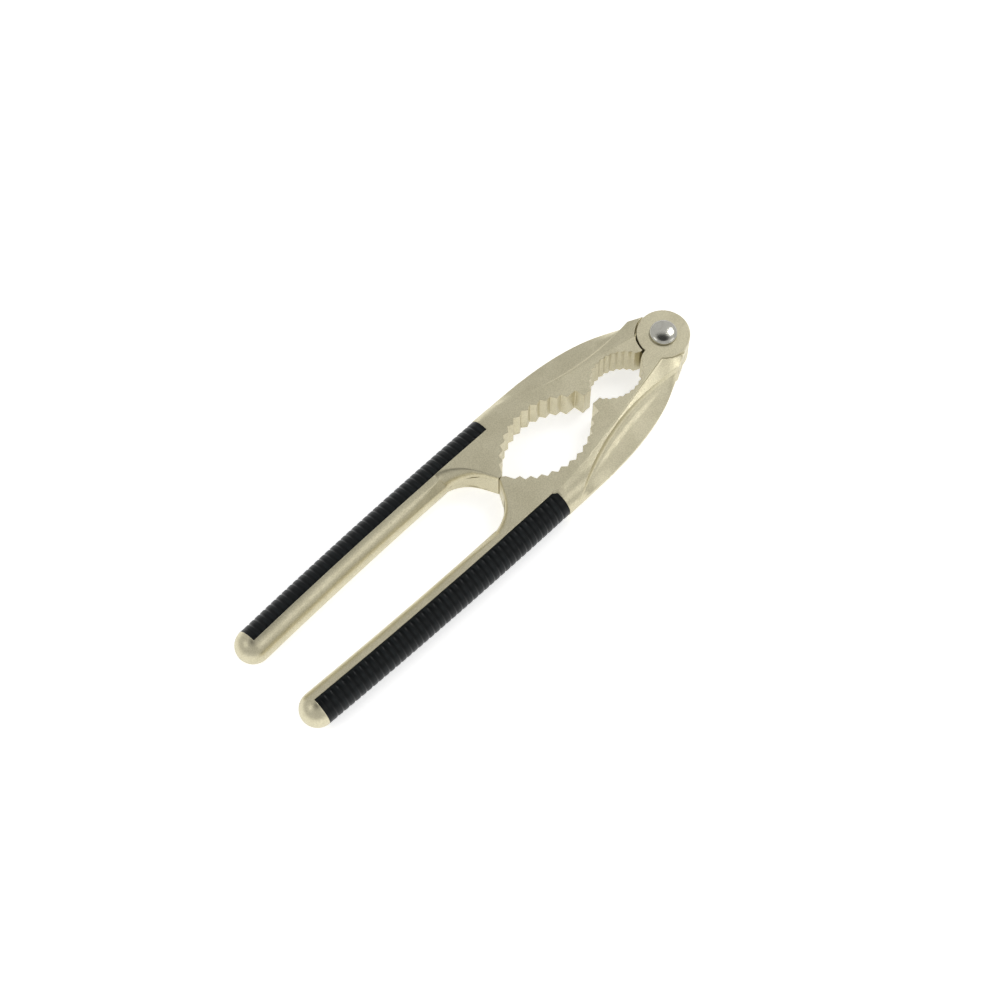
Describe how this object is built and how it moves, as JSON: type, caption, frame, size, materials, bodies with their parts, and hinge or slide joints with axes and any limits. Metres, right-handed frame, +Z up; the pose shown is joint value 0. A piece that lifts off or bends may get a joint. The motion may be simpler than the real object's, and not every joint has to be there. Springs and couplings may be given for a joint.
{
  "type": "nutcracker",
  "caption": "Hand nutcracker of two cast metal levers hinged at the nose by a rivet, with a small and a large serrated notch and ribbed plastic grips set into the handles.",
  "frame": {"origin": "the hinge axis where it meets the resting face, z = 0 on the surface the closed nutcracker lies on", "axes": "+X from the hinge to the handle ends along the closing line, +Y to the right lever's side, +Z up along the rivet towards its domed head"},
  "size_m": [0.1719, 0.0422, 0.0131],
  "materials": {
    "cast_metal": "satin die-cast zinc with a champagne nickel plating",
    "grip_plastic": "black ribbed plastic, semi-matte",
    "rivet_steel": "polished steel rivet head"
  },
  "bodies": {
    "left_half": {"left_lever": "cast_metal", "left_grip": "grip_plastic", "pivot_rivet": "rivet_steel"},
    "right_half": {"right_lever": "cast_metal", "right_grip": "grip_plastic"}
  },
  "joints": [
    {"name": "hinge", "type": "hinge", "parent": "left_half", "child": "right_half", "pos_m": [0, 0, 0], "axis": [0, 0, 1], "range_deg": [0, 175]}
  ]
}
